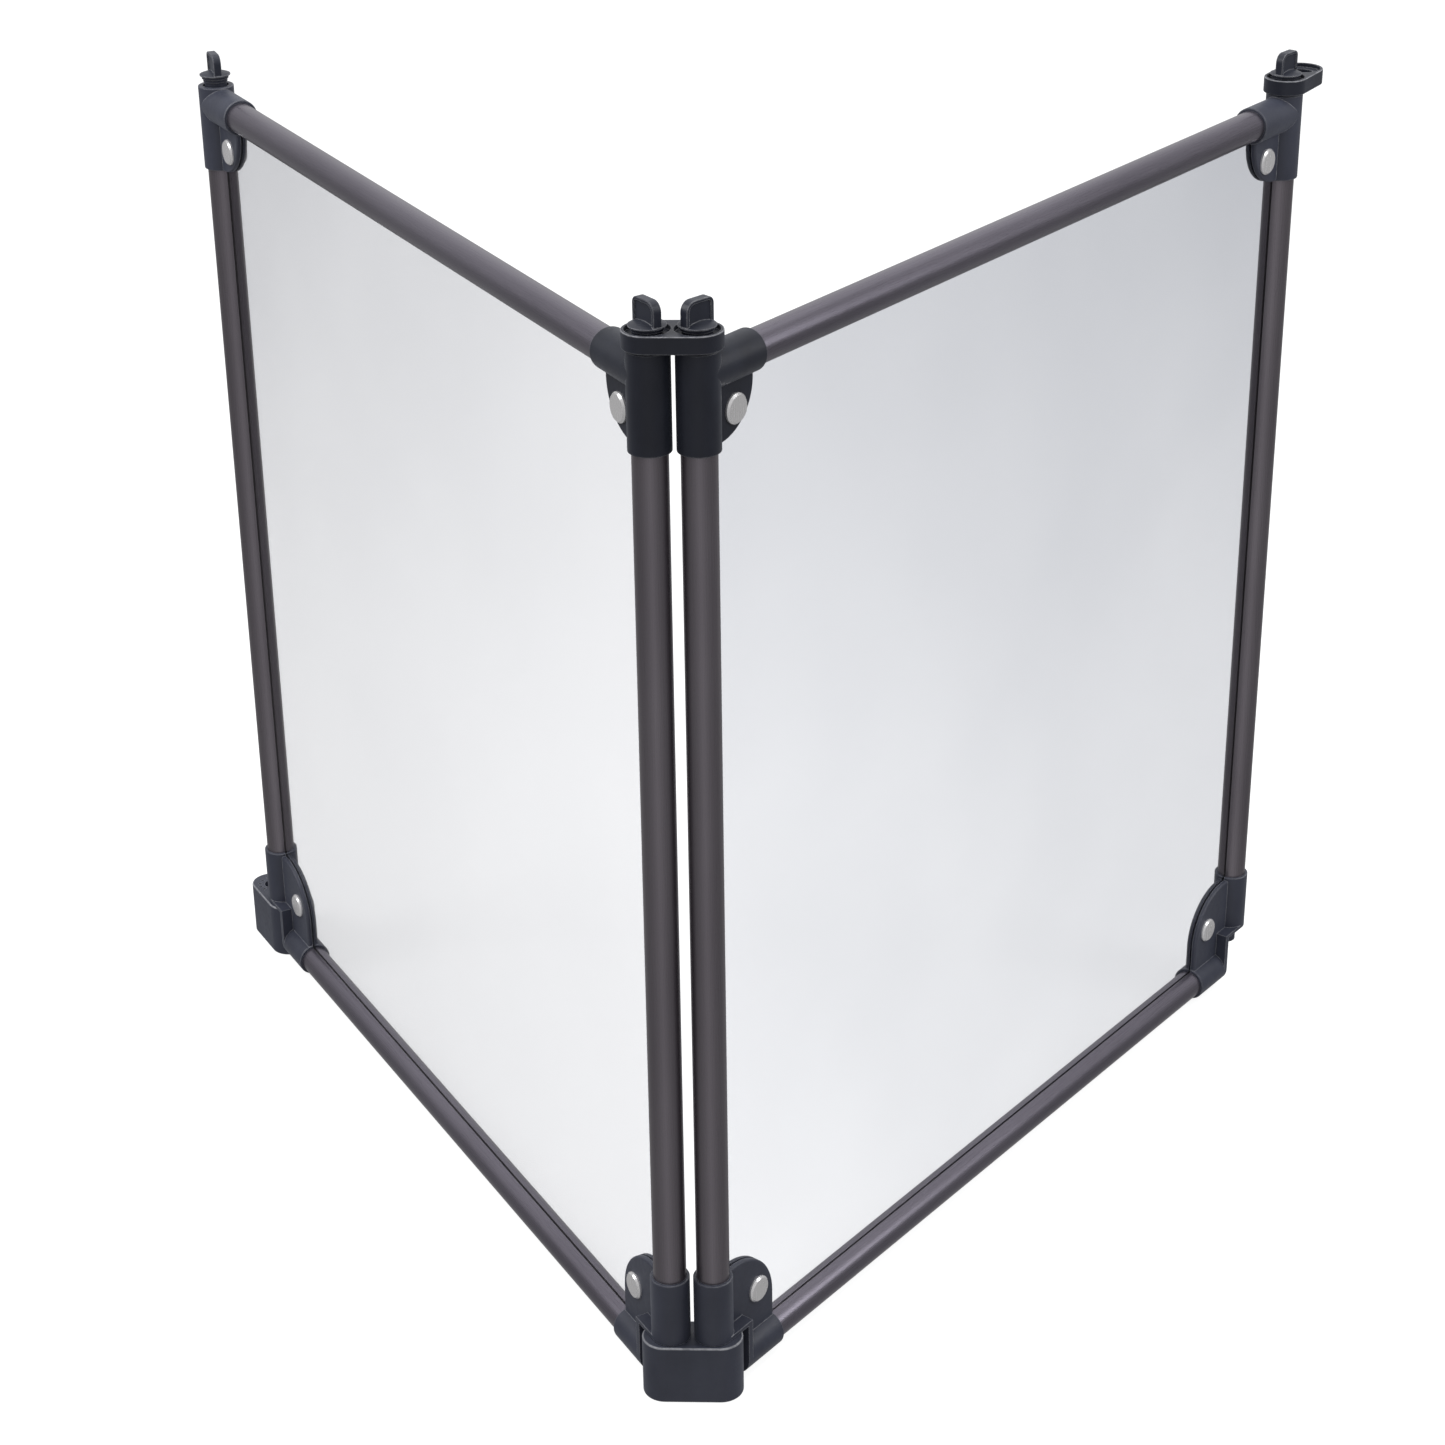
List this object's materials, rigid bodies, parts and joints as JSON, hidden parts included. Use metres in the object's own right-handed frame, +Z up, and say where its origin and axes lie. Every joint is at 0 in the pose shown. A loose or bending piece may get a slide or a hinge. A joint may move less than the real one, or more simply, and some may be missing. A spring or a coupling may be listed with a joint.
{
  "type": "two-panel folding screen",
  "caption": "Folding screen of clear sheets in round-tube frames, hinged on a foot block and a link plate at one edge, with wing knobs and a loose foot and plate for more panels.",
  "frame": {"origin": "on the floor, under the middle of the centre foot block", "axes": "+Z up; X runs through the axes of the two inner posts; both panels stand on the +Y side of them"},
  "size_m": [0.9612, 0.7337, 0.8696],
  "materials": {
    "frame_tube": "satin warm grey anodised coat",
    "corner_fitting": "moulded, fine grain",
    "foot_block": "moulded, fine grain",
    "link_plate": "moulded, fine grain",
    "knob": "moulded, satin",
    "rivet": "bright nickel plated",
    "clear_sheet": "clear polished, faint grey tint"
  },
  "bodies": {
    "centre": {"centre_foot_block": "foot_block", "centre_link_plate": "link_plate"},
    "left_panel": {"left_inner_post": "frame_tube", "left_outer_post": "frame_tube", "left_bottom_rail": "frame_tube", "left_top_rail": "frame_tube", "left_clear_sheet": "clear_sheet", "left_upper_inner_fitting": "corner_fitting", "left_upper_outer_fitting": "corner_fitting", "left_lower_inner_fitting": "corner_fitting", "left_lower_outer_fitting": "corner_fitting", "left_rivet_posts": "rivet", "left_rivet_caps": "rivet"},
    "right_panel": {"right_inner_post": "frame_tube", "right_outer_post": "frame_tube", "right_bottom_rail": "frame_tube", "right_top_rail": "frame_tube", "right_clear_sheet": "clear_sheet", "right_upper_inner_fitting": "corner_fitting", "right_upper_outer_fitting": "corner_fitting", "right_lower_inner_fitting": "corner_fitting", "right_lower_outer_fitting": "corner_fitting", "right_rivet_posts": "rivet", "right_rivet_caps": "rivet"},
    "outer_foot": {"outer_foot_block": "foot_block"},
    "outer_link": {"outer_link_plate": "link_plate"},
    "left_inner_knob": {"left_inner_knob": "knob"},
    "left_outer_knob": {"left_outer_knob": "knob"},
    "right_inner_knob": {"right_inner_knob": "knob"},
    "right_outer_knob": {"right_outer_knob": "knob"}
  },
  "joints": [
    {"name": "left_panel_swing", "type": "hinge", "parent": "centre", "child": "left_panel", "pos_m": [-0.0162, 0, 0.0506], "axis": [0, 0, -1], "range_deg": [-149, 31]},
    {"name": "right_panel_swing", "type": "hinge", "parent": "centre", "child": "right_panel", "pos_m": [0.0162, 0, 0.0506], "axis": [0, 0, 1], "range_deg": [-144, 36]},
    {"name": "outer_foot_swing", "type": "hinge", "parent": "left_panel", "child": "outer_foot", "pos_m": [-0.4169, 0.66688, 0.0506], "axis": [0, 0, 1], "range_deg": [-105, 105]},
    {"name": "outer_link_swing", "type": "hinge", "parent": "right_panel", "child": "outer_link", "pos_m": [0.4735, 0.62942, 0.8359], "axis": [0, 0, 1], "continuous": true},
    {"name": "left_inner_knob_turn", "type": "hinge", "parent": "left_panel", "child": "left_inner_knob", "pos_m": [-0.0162, 0, 0.8359], "axis": [0, 0, 1], "range_deg": [0, 83]},
    {"name": "left_outer_knob_turn", "type": "hinge", "parent": "left_panel", "child": "left_outer_knob", "pos_m": [-0.4169, 0.66688, 0.8359], "axis": [0, 0, 1], "range_deg": [0, 97]},
    {"name": "right_inner_knob_turn", "type": "hinge", "parent": "right_panel", "child": "right_inner_knob", "pos_m": [0.0162, 0, 0.8359], "axis": [0, 0, 1], "range_deg": [0, 98]},
    {"name": "right_outer_knob_turn", "type": "hinge", "parent": "right_panel", "child": "right_outer_knob", "pos_m": [0.4735, 0.62942, 0.8359], "axis": [0, 0, 1], "range_deg": [0, 92]}
  ]
}
